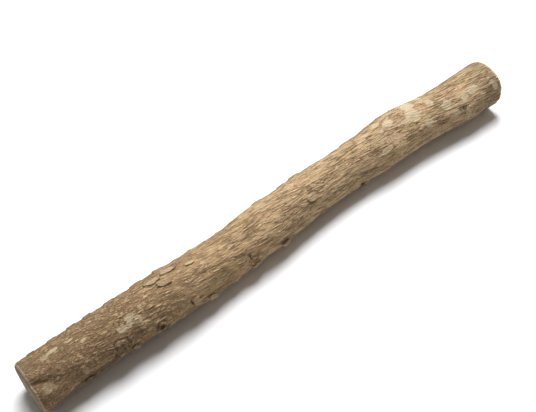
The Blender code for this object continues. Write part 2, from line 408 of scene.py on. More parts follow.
# %% [markdown]
# Where the tears have cut the bark loose all round, it crumbles into thin chips. A third noise is
# cut off at one level, which gives flat chips with steep edges in place of soft hills. They are
# what makes the stick's outline rough.

# %% Chips
CHIP_HEIGHT = 0.075 * MM
CHIP_LEVEL = 0.08


def chips(x, turn):
    """The chips' relief, and the noise that passes through CHIP_LEVEL at their edges."""
    field = grain_noise(x, turn, 2.4, 0.66, 91)
    return CHIP_HEIGHT * ease(0.5 + (field - CHIP_LEVEL) / 0.14), field


# %% [markdown]
# Every scar and stain has a ragged edge. The mesh only stores how deep inside one a point is, as
# a soft number, and the material adds fine noise before it draws the edge. The edge is then
# sharper than the mesh could draw it.


# %% How deep inside a patch each point is
def patch_field(x, turn, patches):
    """0 well outside every patch, 0.5 on its edge, and up to 1 inside; and its strength."""
    field, strength = np.zeros(len(x)), np.zeros(len(x))
    for at_x, at_turn, length, width, own_strength in patches:
        dx, da = offsets(x, turn, at_x, at_turn)
        reach = np.hypot(dx / (length / 2 * MM), da / (width / 2 * MM))
        inside = np.clip(1 - reach / 2, 0, 1)
        strength = np.where(inside > field, own_strength, strength)
        field = np.maximum(field, inside)
    return field, strength


# %% The whole bark, and what the material has to know about it
FAR = 3.0
OVAL = 0.13 * MM
THREE_SIDED = 0.09 * MM
SCAR_SMOOTHS = 0.85


def bark(x, turn):
    """The bark's radius at each point, with the marks that its material reads."""
    wobble = grain_noise(x, turn, 2, 1, 5.1)
    oval = OVAL * np.cos(2 * (turn - 0.7)) + THREE_SIDED * np.cos(3 * turn + x / (30 * MM))
    radius = through(GIRTH, x) + oval + ridges(x, turn)
    radius += sum(swelling(x, turn, *values) for values in SWELLINGS)
    groups = {
        "ledge": [scale(x, turn, *values) for values in SCALES],
        "fold": [knot(x, turn, *values, wobble) for values in KNOTS],
        "valley": [crease(x, turn, *values, wobble) for values in VALLEYS],
        "slit": [crease(x, turn, *values, wobble) for values in CREASES],
    }
    marks = {}
    for name, group in groups.items():
        radius += sum(height for height, _ in group)
        marks[name] = np.minimum(np.min([reach for _, reach in group], axis=0), FAR)
    knot_heights = np.array([height for *_, height in KNOTS])
    marks["wrinkled"] = knot_heights[np.argmin([reach for _, reach in groups["fold"]], axis=0)]
    marks["scar"], marks["pale"] = patch_field(x, turn, SCARS)
    # The stains' field also carries the painted shade along the lower edge.
    marks["stain"], marks["dark"] = patch_field(x, turn, STAINS_AND_SHADE)
    relief, marks["tear"], gape = tears(x, turn)
    worn = 1 - SCAR_SMOOTHS * marks["pale"] * ease((marks["scar"] - 0.42) / 0.12)
    marks["gape"] = gape * worn
    chip, marks["chip"] = chips(x, turn)
    radius += (relief + chip) * worn + PITTING * grain_noise(x, turn, 0.9, 0.45, 71)
    return radius, marks


# %% [markdown]
# ## The mesh
# The bar starts as a cone with equal radii, closed at both ends. Its rims are bevelled, since a
# saw never leaves a knife edge on bark, the sides are ringed closely, and both cuts are inset
# ring by ring so that the wood can carry saw marks. It could be swept along a curve too, but a
# curve keeps no rims to bevel and no caps to shape.

# %% How fine the mesh is
AROUND = 300
ALONG = 285
CUT_RINGS = 11
THIN_RIM_BEVEL = 0.6 * MM
THICK_RIM_BEVEL = 1.1 * MM


def ringed_bar():
    bm = bmesh.new()
    bmesh.ops.create_cone(
        bm, cap_ends=True, segments=AROUND, radius1=MEAN_RADIUS, radius2=MEAN_RADIUS,
        depth=ROOT_LENGTH,
    )
    bmesh.ops.rotate(bm, verts=bm.verts, matrix=Matrix.Rotation(np.pi / 2, 3, "Y"))
    for side, worn in ((1, THIN_RIM_BEVEL), (-1, THICK_RIM_BEVEL)):
        rim = [e for e in bm.edges if min(v.co.x * side for v in e.verts) > 0]
        bmesh.ops.bevel(
            bm, geom=rim, offset=worn, segments=3, profile=0.5, affect="EDGES", material=-1
        )
    cuts = [f for f in bm.faces if len(f.verts) == AROUND]
    ring = (MEAN_RADIUS - THICK_RIM_BEVEL) / (CUT_RINGS + 0.7)
    for _ in range(CUT_RINGS):
        bmesh.ops.inset_region(bm, faces=cuts, thickness=ring, use_even_offset=True)
    bmesh.ops.poke(bm, faces=cuts)
    lengthwise = [e for e in bm.edges if e.verts[0].co.x * e.verts[1].co.x < 0]
    bmesh.ops.subdivide_edges(bm, edges=lengthwise, cuts=ALONG, use_grid_fill=True)
    return bm


bar = ringed_bar()
print("the bar has", len(bar.verts), "points and", len(bar.faces), "faces")

# %% [markdown]
# ## Both cuts
# The thick end was sawn nearly square and the thin end at a slant, so the rings lean over the
# last few millimetres. On the cuts themselves the saw left shallow arcs in rough wood, and the
# bark shrank away from it in places.

# %% The slant of both cuts, and the marks of the saw
THIN_SLOPE = 0.24
THIN_LEAN_TURN = 20
THICK_SLOPE = 0.12
THICK_LEAN_TURN = 198
SAW_REACH = 14 * MM
BARK_THICKNESS = 0.8 * MM
SAW_PITCH = 1.15 * MM
SAW_DEPTH = 0.035 * MM
SAW_WAY = (0.8, 0.6)
SAW_ARC = 9
WOOD_GRIT = 0.05 * MM
SEAM_DEPTH = 0.16 * MM
SEAM_HALF_WIDTH = 0.22 * MM


def lean_of_cuts(x, turn):
    """How far the rings lean along the stick near each cut, as a share of their radius."""
    thin = THIN_SLOPE * ease((x - ROOT_LENGTH / 2 + SAW_REACH) / SAW_REACH)
    thick = THICK_SLOPE * ease((SAW_REACH - ROOT_LENGTH / 2 - x) / SAW_REACH)
    leaning = thin * np.cos(turn - np.radians(THIN_LEAN_TURN))
    return leaning - thick * np.cos(turn - np.radians(THICK_LEAN_TURN))


def cut_relief(x, turn, depth):
    """How far each point of a cut stands out, for its depth below the bark."""
    reach = MEAN_RADIUS - depth
    y, z = reach * np.sin(turn), reach * np.cos(turn)
    to_y, to_z = SAW_WAY
    along_saw = (y * to_y + z * to_z + SAW_ARC * (y * to_z - z * to_y) ** 2) / SAW_PITCH
    saw = SAW_DEPTH * np.sin(2 * np.pi * along_saw)
    points = np.stack([x, y, z], axis=-1) / MM
    grit = np.array([noise.noise(p * 1.4) + 0.6 * noise.noise(p * 4) for p in points])
    seam = np.exp(-(((depth - BARK_THICKNESS) / SEAM_HALF_WIDTH) ** 2))
    return saw + WOOD_GRIT * grit - SEAM_DEPTH * seam * ease(0.5 + 2 * grit)


# %% From a place and a radius to a point in space
def to_space(x, turn, radius):
    """The bent, pressed and slanted root: every point of bark goes through here."""
    sideways = through(BOW, x) - radius * np.sin(turn)
    height = np.maximum(through(GIRTH, x) + radius * np.cos(turn) - PRESS, 0)
    return np.stack([x + lean_of_cuts(x, turn) * radius, sideways, height], axis=-1)


# %% Shape the bar
def shape_root(bm):
    """Moves the bar's points out to the bark, and returns what the materials have to know."""
    points = np.array([v.co for v in bm.verts])
    x, y, z = points.T
    turn = np.arctan2(-y, z)
    share = np.hypot(y, z) / MEAN_RADIUS
    full, marks = bark(x, turn)
    depth = MEAN_RADIUS * (1 - share)
    on_cut = np.abs(x) > ROOT_LENGTH / 2 - MM / 10
    stand = np.where(on_cut, cut_relief(x, turn, depth) * ease(depth / THICK_RIM_BEVEL), 0)
    for vert, place in zip(bm.verts, to_space(x + np.sign(x) * stand, turn, full * share)):
        vert.co = place
    marks["rim"] = np.minimum((ROOT_LENGTH / 2 - np.abs(x)) / MM, FAR)
    marks["grain"] = grain_places(x, turn, MEAN_RADIUS * share)
    marks["depth"] = depth / MM
    return marks


marks = shape_root(bar)

# %% [markdown]
# The plain solid's box is centred over the origin, so the fine mesh is moved until its own box
# is. The camera takes the same step later, because its place was worked out from the root's line.


# %% Move the root to the plain solid's place
def to_frame(bm, box):
    """The sideways step that brings the mesh's box over the solid's."""
    points = np.array([v.co for v in bm.verts])
    own_middle = (points.min(axis=0) + points.max(axis=0)) / 2
    box_middle = (np.array(box[0]) + np.array(box[1])) / 2
    return Vector((*(box_middle - own_middle)[:2], 0))


step_to_frame = to_frame(bar, cad_box)
bmesh.ops.translate(bar, verts=bar.verts, vec=step_to_frame)
print("moved by", [round(v / MM, 2) for v in step_to_frame], "mm")

# %% [markdown]
# ## Hand the marks to the material
# A point attribute rides on the mesh, whatever the camera or the pose.
# Texture coordinates from a formula in the shader couldn't follow the twist of the grain.


# %% Make the object
def store(mesh, name, values):
    """Writes one number, or one vector, for each point of the mesh."""
    vector = values.ndim == 2
    kind, field = ("FLOAT_VECTOR", "vector") if vector else ("FLOAT", "value")
    attribute = mesh.attributes.new(name, kind, "POINT")
    attribute.data.foreach_set(field, values.astype(np.float32).ravel())


def make_piece(bm, name, marks):
    mesh = bpy.data.meshes.new(name)
    bm.to_mesh(mesh)
    bm.free()
    for mark, values in marks.items():
        store(mesh, mark, values)
    piece = bpy.data.objects.new(name, mesh)
    bpy.context.scene.collection.objects.link(piece)
    mesh.shade_smooth()
    return piece


cut_faces = [f.index for f in bar.faces if abs(f.normal.x) > 0.9]
stick = make_piece(bar, "root_stick", marks)
print("the stick has", len(stick.data.polygons), "faces")

# %% [markdown]
# ## Flakes that have come half loose
# The cork scales are lumps in the bark, but their free edges stand off it and cast a thin dark
# line. No height over a round bar can undercut itself, so each scale gets a thin plate of its
# own, a little larger than its lump. The plate starts as a flat grid, which is pulled into a
# leaning block with round corners, laid on the bark by the same formulas, and given its
# thickness last. It carries the bark's own marks, so a tear runs on across it. More plates,
# without a lump, sit where the outline is rough.

# %% Plates without a lump: x, turn, length, width, slant, height, as for the scales
LOOSE_PLATES = [
    (13.2, -46, 3.2, 1.3, 182, 0.32),
    (8.6, -49, 2.6, 1.2, 176, 0.28),
    (0.4, -48, 3.0, 1.1, 184, 0.18),
    (-38.6, -46, 3.2, 1.4, 182, 0.34),
    (-31.5, -48, 3.4, 1.3, 178, 0.32),
    (-53.0, -48, 2.6, 1.2, 186, 0.28),
    (-63.5, -44, 3.0, 1.2, 180, 0.30),
    (30.5, -52, 2.4, 1.0, 184, 0.26),
    (-70.0, -44, 2.4, 1.1, 182, 0.28),
    (-57.8, -46, 2.6, 1.1, 178, 0.30),
    (-46.5, -48, 3.0, 1.1, 183, 0.28),
    (-38.2, 97, 2.6, 1.4, 10, 0.32),
    (-15.9, 99, 1.6, 1.2, 0, 0.30),
    (35.8, 98, 2.2, 1.0, 0, 0.26),
]
PLATE_THICKNESS = 0.10 * MM
PLATE_REACH = 1.05
PLATE_CURL = 0.07 * MM
PLATE_LEAN = 0.35
PLATE_CELLS = (28, 11)
PLATE_ROUNDNESS = 0.36
PLATE_RAGGED = 0.35
LEVEL_ON_LUMP = 0.9
HINGE_SUNK = 0.25


# %% Flat shapes, laid on the bark
def flat_shape(bm, long_cells, wide_cells, roundness):
    """A flat grid, 2 by 2 units, with its corners drawn in; returns its points and places."""
    grid = bmesh.ops.create_grid(bm, x_segments=long_cells, y_segments=wide_cells, size=1)
    along, across = np.array([v.co.xy for v in grid["verts"]]).T
    shorter = np.sqrt(1 - roundness * across**2)
    narrower = np.sqrt(1 - roundness * along**2)
    return grid["verts"], along * shorter, across * narrower


def turned_to_grain(along, across, at_x, at_turn, slant):
    """Places on the bark for places on a flat shape, both in metres."""
    c, s = np.cos(np.radians(slant)), np.sin(np.radians(slant))
    x = at_x * MM + along * c - across * s
    return x, np.radians(at_turn) + (along * s + across * c) / MEAN_RADIUS


def lay_plate(bm, at_x, at_turn, length, width, slant, height):
    """A plate that lies on its scale's lump, or is hinged on the bark along one long edge."""
    verts, along, across = flat_shape(bm, *PLATE_CELLS, PLATE_ROUNDNESS)
    edge = [noise.noise((a * 1.6 + at_x, b * 1.6, at_turn)) for a, b in zip(along, across)]
    size = PLATE_REACH * (1 + PLATE_RAGGED * np.array(edge)) / 2 * MM
    leaning = along * length + PLATE_LEAN * across * width
    x, turn = turned_to_grain(leaning * size, across * width * size, at_x, at_turn, slant)
    full, marks = bark(x, turn)
    bare = full - sum(scale(x, turn, *values)[0] for values in SCALES)
    free = ease(np.hypot(along, across) * 1.4 - 0.4) * (0.6 + 0.5 * across)
    on_lump = any(at_x == values[0] for values in SCALES)
    level = LEVEL_ON_LUMP if on_lump else ease((across + 1) / 2) - HINGE_SUNK
    radius = bare + level * height * MM + PLATE_CURL * free
    for vert, place in zip(verts, to_space(x, turn, radius)):
        vert.co = place
    marks["ledge"] = marks["rim"] = np.full(len(x), FAR)
    marks["grain"] = grain_places(x, turn, radius)
    return marks


# %% Thicken a sheet and make it a piece
def thick_piece(bm, name, parts, thickness):
    """Gives every plate or sliver in the bmesh a thickness, and hands on its marks."""
    for mark in parts[0]:
        values = np.concatenate([part[mark] for part in parts])
        layers = bm.verts.layers.float_vector if values.ndim == 2 else bm.verts.layers.float
        layer = layers.new(mark)
        for vert, value in zip(bm.verts, values):
            vert[layer] = value
    bmesh.ops.translate(bm, verts=bm.verts, vec=step_to_frame)
    piece = make_piece(bm, name, {})
    wall = piece.modifiers.new("thickness", "SOLIDIFY")
    wall.thickness = thickness
    wall.offset = 0
    wall.use_even_offset = False
    return piece


plate_mesh = bmesh.new()
plate_parts = [lay_plate(plate_mesh, *values) for values in SCALES + LOOSE_PLATES]
plates = thick_piece(plate_mesh, "cork_plates", plate_parts, PLATE_THICKNESS)
print(len(plate_parts), "plates with", len(plates.data.polygons), "faces")

# %% [markdown]
# ## Slivers
# Between the tears, hundreds of thin slivers of bark have sprung up at one end. They could be
# hair or instances, but those are lost when the model is handed on, so they are joined meshes of
# a few faces each. A fixed seed scatters them, more thickly on the rough thick end.

# %% Scatter the slivers
SLIVERS = 460
SLIVER_PLACES = (-73, 73, -40)  # from x to x in mm, and where most of them are
SLIVER_CELLS = (6, 2)
SLIVER_ROUNDNESS = 0.5
SLIVER_STRAY = 5  # degrees off the grain
SLIVER_THICKNESS = 0.05 * MM
SLIVER_LENGTHS = (0.8, 2.4)
SLIVER_WIDTHS = (0.16, 0.36)
SLIVER_LIFTS = (0.03, 0.16)
GRAIN_SLANT = np.degrees(np.arctan(np.radians(GRAIN_TWIST) * MEAN_RADIUS / MM))

chance = Random(11)


def lay_sliver(bm):
    at_x = chance.triangular(*SLIVER_PLACES)
    at_turn = chance.uniform(0, 360)
    length = chance.uniform(*SLIVER_LENGTHS) * MM
    width = chance.uniform(*SLIVER_WIDTHS) * MM
    lift = chance.uniform(*SLIVER_LIFTS) * MM
    slant = GRAIN_SLANT + chance.gauss(0, SLIVER_STRAY)
    verts, along, across = flat_shape(bm, *SLIVER_CELLS, SLIVER_ROUNDNESS)
    bend = chance.uniform(-0.4, 0.4) * width * along**2
    x, turn = turned_to_grain(along * length / 2, across * width / 2 + bend, at_x, at_turn, slant)
    x = np.clip(x, -ROOT_LENGTH / 2 + MM, ROOT_LENGTH / 2 - MM)
    radius = bark(x, turn)[0] + lift * (0.1 + ease((along + 1) / 2) + 0.3 * across)
    for vert, place in zip(verts, to_space(x, turn, radius)):
        vert.co = place
    return {"grain": grain_places(x, turn, radius), "tone": np.full(len(x), chance.random())}


sliver_mesh = bmesh.new()
sliver_parts = [lay_sliver(sliver_mesh) for _ in range(SLIVERS)]
slivers = thick_piece(sliver_mesh, "bark_slivers", sliver_parts, SLIVER_THICKNESS)
print(len(sliver_parts), "slivers with", len(slivers.data.polygons), "faces")

# %% [markdown]
# ## Small helpers for materials
# A node tree in code soon fills a page with links. The first helpers make one node from its
# settings and whatever feeds it: a number, a colour, or another node's output. The others name
# the few sums and patterns that the finishes are made of.


# %% One node at a time
def feed(tree, socket, value):
    """Links another node's output to a socket, or sets the socket to a plain value."""
    if isinstance(value, bpy.types.NodeSocket):
        tree.links.new(value, socket)
    else:
        socket.default_value = value


def add_node(tree, kind, inputs=None, **settings):
    made = tree.nodes.new(kind)
    for name, value in settings.items():
        setattr(made, name, value)
    for name, value in (inputs or {}).items():
        feed(tree, made.inputs[name], value)
    return made


def mark_of(tree, name, output="Fac"):
    """A point attribute of the mesh."""
    return add_node(tree, "ShaderNodeAttribute", attribute_name=name).outputs[output]


# %% Sums
def math(tree, operation, a, b=0.0):
    return add_node(tree, "ShaderNodeMath", {0: a, 1: b}, operation=operation).outputs[0]


def times(tree, a, b):
    return math(tree, "MULTIPLY", a, b)


def plus(tree, a, b):
    return math(tree, "ADD", a, b)


def minus(tree, a, b):
    return math(tree, "SUBTRACT", a, b)


def larger(tree, a, b):
    return math(tree, "MAXIMUM", a, b)


def spread(tree, value, low, high, to_low=0.0, to_high=1.0):
    """Stretches low to high onto another range, with soft ends."""
    inputs = {"Value": value, "From Min": low, "From Max": high}
    inputs |= {"To Min": to_low, "To Max": to_high}
    kind = {"interpolation_type": "SMOOTHSTEP"}
    return add_node(tree, "ShaderNodeMapRange", inputs, **kind).outputs["Result"]


def near_zero(tree, value, width):
    """1 where value is 0, falling to 0 at width on each side."""
    return spread(tree, math(tree, "ABSOLUTE", value), width, width * 0.5)


# %% Colours and patterns
def blend(tree, factor, a, b, mode="MIX"):
    """Mixes two colours."""
    inputs = {0: factor, 6: a, 7: b}
    return add_node(tree, "ShaderNodeMix", inputs, data_type="RGBA", blend_type=mode).outputs[2]


def shaded(tree, colour, shade):
    """A colour made darker or lighter by one number."""
    grey = add_node(tree, "ShaderNodeCombineColor", {0: shade, 1: shade, 2: shade}).outputs[0]
    return blend(tree, 1.0, colour, grey, "MULTIPLY")


def grain_pattern(tree, stretch, size, detail=4, roughness=0.55, offset=0.0):
    """Noise along the grain: stretch is how many times longer than wide, size is in mm."""
    grain = mark_of(tree, "grain", "Vector")
    drawn = add_node(
        tree, "ShaderNodeMapping",
        {"Vector": grain, "Scale": (1 / stretch, 1, 1), "Location": (offset, offset, 0)},
    ).outputs[0]
    inputs = {"Vector": drawn, "Scale": 1 / size, "Detail": detail, "Roughness": roughness}
    return add_node(tree, "ShaderNodeTexNoise", inputs).outputs["Fac"]


def from_middle(tree, noise_value):
    """Noise round 0, in place of round 0.5."""
    return minus(tree, noise_value, 0.5)


# %% A material and its shader
def new_material(name):
    material = bpy.data.materials.new(name)
    material.use_nodes = True
    return material, material.node_tree


def bump(tree, height, depth, strength=1.0):
    """Relief that only bends the light, with its depth in mm."""
    inputs = {"Strength": strength, "Distance": depth * MM, "Height": height}
    return add_node(tree, "ShaderNodeBump", inputs).outputs[0]


def set_shader(tree, values):
    """Feeds the material's one shader, socket by socket."""
    shader = tree.nodes["Principled BSDF"]
    for name, value in values.items():
        feed(tree, shader.inputs[name], value)


def dress(tree, colour, relief, roughness, shine):
    set_shader(tree, {"Base Color": colour, "Normal": relief})
    set_shader(tree, {"Roughness": roughness, "Specular IOR Level": shine})


# %% [markdown]
# ## The bark's colours
# Dry root bark is a warm tan, greyer where it is weathered, pink-brown where a layer has come
# off and a little olive where it stayed damp. Blotches of these, a few mm across, lie under
# fine streaks that follow the grain. One noise for all of it would look like marble. Each cause
# gets its own noise instead, at the size that the cause has.

# %% Colours of the bark
TAN = (0.52, 0.355, 0.195, 1)
STRAW = (0.67, 0.495, 0.29, 1)
PINK_BROWN = (0.50, 0.285, 0.18, 1)
OLIVE = (0.45, 0.345, 0.13, 1)
GREY_BROWN = (0.36, 0.27, 0.195, 1)
CRACK_BROWN = (0.115, 0.065, 0.032, 1)
TIP_GREY = (0.27, 0.205, 0.15, 1)
WARM = (1, 0.965, 0.92, 1)
CREAM = (0.62, 0.51, 0.335, 1)
RIM_CREAM = (0.72, 0.58, 0.38, 1)
STAIN_AND_SHADE_BROWN = (0.15, 0.10, 0.06, 1)


def bark_colour(tree):
    streaks = grain_pattern(tree, 10, 0.42, detail=5, roughness=0.65)
    threads = grain_pattern(tree, 14, 0.22, detail=3, roughness=0.7, offset=13)
    colour = blend(tree, spread(tree, streaks, 0.36, 0.66, 0.1, 0.85), TAN, STRAW)
    peeled = spread(tree, grain_pattern(tree, 2.2, 3.6, offset=37), 0.5, 0.64, 0, 0.28)
    colour = blend(tree, peeled, colour, PINK_BROWN)
    damp = spread(tree, grain_pattern(tree, 1.8, 4.2, offset=47), 0.53, 0.68, 0, 0.4)
    colour = blend(tree, damp, colour, OLIVE)
    weathered = spread(tree, grain_pattern(tree, 3, 2.2, offset=63), 0.5, 0.66, 0, 0.2)
    colour = blend(tree, weathered, colour, GREY_BROWN)
    return shaded(tree, colour, spread(tree, threads, 0.3, 0.7, 0.83, 1.17))


# %% Slow changes along the stick: from one x to another in mm, and how strong at each
WARMER = (30, -30)
# The thick end's dimming is painted shade and the thin half's brightening is painted light, as
# from a lamp nearer the thin end.
THICK_END_PAINTED_SHADE = (-75, -20, 0.9, 1.11)
THIN_HALF_PAINTED_LIGHT = (10, 50, 1, 1.02)
TIP_RUBBED = (67.5, 71.5, 0, 0.36)
STRAY_ALONG = 14


def along_stick(tree):
    """How far along the stick, in mm, with a ragged step of a few mm."""
    split = add_node(tree, "ShaderNodeSeparateXYZ", {0: mark_of(tree, "grain", "Vector")})
    stray = from_middle(tree, grain_pattern(tree, 2, 2.5, offset=111))
    return plus(tree, split.outputs[0], times(tree, stray, STRAY_ALONG))


def weathered_and_shaded_ends(tree, colour):
    """The near half is warmer, the thick end is painted darker and the thin half a little
    brighter, as painted shade and painted light, and the tip of the thin end is grey and rubbed.
    """
    x = along_stick(tree)
    colour = blend(tree, spread(tree, x, *WARMER), colour, WARM, "MULTIPLY")
    colour = shaded(tree, colour, spread(tree, x, *THICK_END_PAINTED_SHADE))
    colour = shaded(tree, colour, spread(tree, x, *THIN_HALF_PAINTED_LIGHT))
    return blend(tree, spread(tree, x, *TIP_RUBBED), colour, TIP_GREY)


# %% [markdown]
# The scars, stains and patches of painted shade start from the soft numbers that the mesh carries.
# Noise makes their edges ragged, and the paler a scar is, the crisper its edge. Painted patches
# would need an image.

# %% Scars, stains and painted shade
SCAR_RAGGED = 0.85
SCAR_EDGES = (0.14, 0.04)
STAIN_AND_SHADE_RAGGED = 0.7


def scar_cover(tree):
    """How much of the outer cork is gone, from 0 to 1."""
    ragged = from_middle(tree, grain_pattern(tree, 1.5, 1.1, detail=5, roughness=0.72, offset=5))
    field = plus(tree, mark_of(tree, "scar"), times(tree, ragged, SCAR_RAGGED))
    soft = spread(tree, mark_of(tree, "pale"), 0.4, 0.9, *SCAR_EDGES)
    inside = spread(tree, field, minus(tree, 0.5, soft), plus(tree, 0.5, soft))
    worn = spread(tree, grain_pattern(tree, 3, 0.5, detail=3, offset=81), 0.35, 0.55, 0.8, 1)
    strength = spread(tree, mark_of(tree, "pale"), 0, 0.9, 0, 0.95)
    return times(tree, times(tree, inside, worn), strength)


def with_stains_and_shade(tree, colour):
    ragged = from_middle(tree, grain_pattern(tree, 1.3, 0.8, detail=5, roughness=0.7, offset=15))
    field = plus(tree, mark_of(tree, "stain"), times(tree, ragged, STAIN_AND_SHADE_RAGGED))
    cover = times(tree, spread(tree, field, 0.4, 0.62), mark_of(tree, "dark"))
    return blend(tree, cover, colour, STAIN_AND_SHADE_BROWN)


# %% [markdown]
# ## Cracks and wrinkles
# Light doesn't reach the bottom of a crack, so each one is a dark line as well as a groove. Most
# are drawn where a noise or a mark passes through one value, which gives thin lines with no ends
# of their own. A second noise then breaks them, as the bark does.


# %% Fine cracks
def fine_lines(tree):
    """Long hair cracks, and the short crooked cracks and crumbs that cover the thick end."""
    patchy = spread(tree, grain_pattern(tree, 2.5, 2.4, offset=55), 0.4, 0.58, 0.35, 1)
    hair = from_middle(tree, grain_pattern(tree, 12, 0.44, detail=2, offset=27))
    hair = times(tree, near_zero(tree, hair, 0.075), patchy)
    crazed = from_middle(tree, grain_pattern(tree, 3.2, 0.6, detail=3, roughness=0.6, offset=93))
    thick_end = spread(tree, along_stick(tree), -5, -45, 0.2, 1)
    crazed = times(tree, near_zero(tree, crazed, 0.08), thick_end)
    pits = spread(tree, grain_pattern(tree, 1.6, 0.5, detail=2, offset=59), 0.6, 0.68)
    crumbs = grain_pattern(tree, 1.8, 1.0, detail=4, roughness=0.7, offset=133)
    pits = larger(tree, pits, spread(tree, crumbs, 0.56, 0.66, 0, 0.75))
    crazed = larger(tree, crazed, times(tree, pits, thick_end))
    return larger(tree, times(tree, hair, 0.95), crazed)


# %% The wrinkles of knots
def knot_waves(tree):
    """How far out each point of a knot is, the waves of its wrinkles, and how strong they are."""
    bent = from_middle(tree, grain_pattern(tree, 1.4, 1.3, detail=3, offset=87))
    fold = plus(tree, mark_of(tree, "fold"), times(tree, bent, 0.4))
    wave = math(tree, "COSINE", times(tree, fold, 2 * np.pi * FOLDS))
    strength = spread(tree, mark_of(tree, "wrinkled"), 0.42, 0.6, 0.12, 1)
    return fold, wave, times(tree, spread(tree, fold, 1.1, 0.9), strength)


# The troughs of the knots' wrinkles are drawn dark: painted shade.
def knot_folds(tree, broken):
    fold, wave, strength = knot_waves(tree)
    folded = times(tree, spread(tree, wave, -0.3, -0.95), strength)
    folded = times(tree, folded, spread(tree, broken, 0, 1, 0.9, 1.35))
    return times(tree, folded, spread(tree, fold, 0.28, 0.45))


def crests(tree):
    """The crests between the folds of a knot: raised in the bump, and painted pale as a highlight.
    """
    _, wave, strength = knot_waves(tree)
    return times(tree, spread(tree, wave, 0, 1), strength)


# %% Lines round chips and scales, and along tears and slits
TEAR_LINE = 0.11
CHIP_LINE = 0.08
SCALE_LINE = 0.12
SCALE_FOOT = 1.17


def tear_lines(tree, ragged):
    tear = plus(tree, mark_of(tree, "tear"), times(tree, ragged, 0.2))
    return times(tree, near_zero(tree, tear, TEAR_LINE), mark_of(tree, "gape"))


def chip_lines(tree, ragged, broken):
    chip = plus(tree, mark_of(tree, "chip"), times(tree, ragged, 0.25))
    chip = near_zero(tree, minus(tree, chip, CHIP_LEVEL), CHIP_LINE)
    return times(tree, chip, spread(tree, broken, 0, 1, 0, 0.7))


# A dark line at the foot of each scale: partly dirt, partly painted shade under its edge.
def scale_lines(tree, ragged, broken):
    ledge = plus(tree, mark_of(tree, "ledge"), times(tree, ragged, 0.3))
    foot = near_zero(tree, minus(tree, ledge, SCALE_FOOT), SCALE_LINE)
    return times(tree, foot, spread(tree, broken, 0, 1, 0.15, 0.65))


def slit_lines(tree, ragged):
    slit = plus(tree, mark_of(tree, "slit"), times(tree, ragged, 0.8))
    return spread(tree, slit, 0.9, 0.5)


def valley_specks(tree):
    specks = spread(tree, grain_pattern(tree, 1.5, 0.5, detail=3, offset=101), 0.52, 0.6)
    return times(tree, spread(tree, mark_of(tree, "valley"), 1.3, 0.5), specks)


def dark_lines(tree):
    """All the dark lines; where two cross, the darker one counts."""
    ragged = from_middle(tree, grain_pattern(tree, 2, 0.3, detail=3, offset=77))
    broken = spread(tree, grain_pattern(tree, 1, 0.8, offset=71), 0.42, 0.58)
    dark = larger(tree, fine_lines(tree), tear_lines(tree, ragged))
    dark = larger(tree, dark, chip_lines(tree, ragged, broken))
    dark = larger(tree, dark, scale_lines(tree, ragged, broken))
    dark = larger(tree, dark, knot_folds(tree, broken))
    dark = larger(tree, dark, slit_lines(tree, ragged))
    return larger(tree, dark, valley_specks(tree))


# %% [markdown]
# ## The finished bark
# The colour is laid on in this order: bark, painted highlights on the crests of the knots, scars,
# stains and painted shade, cracks, and last the pale line at the sawn edge, partly pale cork and
# partly a painted highlight. A bump adds the crinkles that are finer than the mesh. More faces
# could carry them too, but then the mesh would be ten times as large.

# %% The bark's material
CREST_HIGHLIGHT = 0.6
LINE_DARKNESS = 0.8
SCAR_HIDES_LINES = 0.7
RIM_MIDDLE = 0.36
RIM_HALF_WIDTH = 0.46


def pale_rim(tree):
    """The pale line at the sawn edge of the bark: partly pale cork, partly a painted highlight
    where the light catches the rim, so weaker at the thick end, which lies in shade; its measures
    are in mm.
    """
    wavy = from_middle(tree, grain_pattern(tree, 1, 1.2, offset=9))
    rim = minus(tree, plus(tree, mark_of(tree, "rim"), wavy), RIM_MIDDLE)
    highlight_share = spread(tree, along_stick(tree), -20, 20, 0.5, 1)
    return times(tree, near_zero(tree, rim, RIM_HALF_WIDTH), highlight_share)


def bark_relief(tree, lines):
    """Crinkles and grit, with the dark lines cut in and the knots' crests raised."""
    crinkles = grain_pattern(tree, 5, 0.38, detail=4, roughness=0.65, offset=21)
    grit = grain_pattern(tree, 1.5, 0.25, detail=2, offset=35)
    height = plus(tree, times(tree, crinkles, 1.7), times(tree, grit, 0.3))
    height = minus(tree, height, times(tree, lines, 0.6))
    return plus(tree, height, crests(tree))


def bark_material():
    material, tree = new_material("root_bark")
    cover = scar_cover(tree)
    colour = weathered_and_shaded_ends(tree, bark_colour(tree))
    # Painted highlight: the crests of the knots' wrinkles are painted pale.
    colour = blend(tree, times(tree, crests(tree), CREST_HIGHLIGHT), colour, CREAM)
    colour = with_stains_and_shade(tree, blend(tree, cover, colour, CREAM))
    bare = minus(tree, 1, times(tree, cover, SCAR_HIDES_LINES))
    lines = times(tree, dark_lines(tree), bare)
    colour = blend(tree, times(tree, lines, LINE_DARKNESS), colour, CRACK_BROWN)
    colour = blend(tree, pale_rim(tree), colour, RIM_CREAM)
    relief = bump(tree, bark_relief(tree, lines), depth=0.30)
    dress(tree, colour, relief, roughness=0.88, shine=0.25)
    return material


# %% The slivers' material: the same bark, with a shade of its own for each sliver
SLIVER_SHADES = (0.72, 1.05)


def sliver_material():
    material, tree = new_material("loose_bark")
    colour = weathered_and_shaded_ends(tree, bark_colour(tree))
    shade = spread(tree, mark_of(tree, "tone"), 0, 1, *SLIVER_SHADES)
    hair = from_middle(tree, grain_pattern(tree, 6, 0.45, detail=3, offset=27))
    lines = times(tree, near_zero(tree, hair, 0.05), 0.5)
    colour = blend(tree, lines, shaded(tree, colour, shade), CRACK_BROWN)
    relief = bump(tree, grain_pattern(tree, 3, 0.6, detail=4, offset=21), depth=0.22)
    dress(tree, colour, relief, roughness=0.85, shine=0.25)
    return material


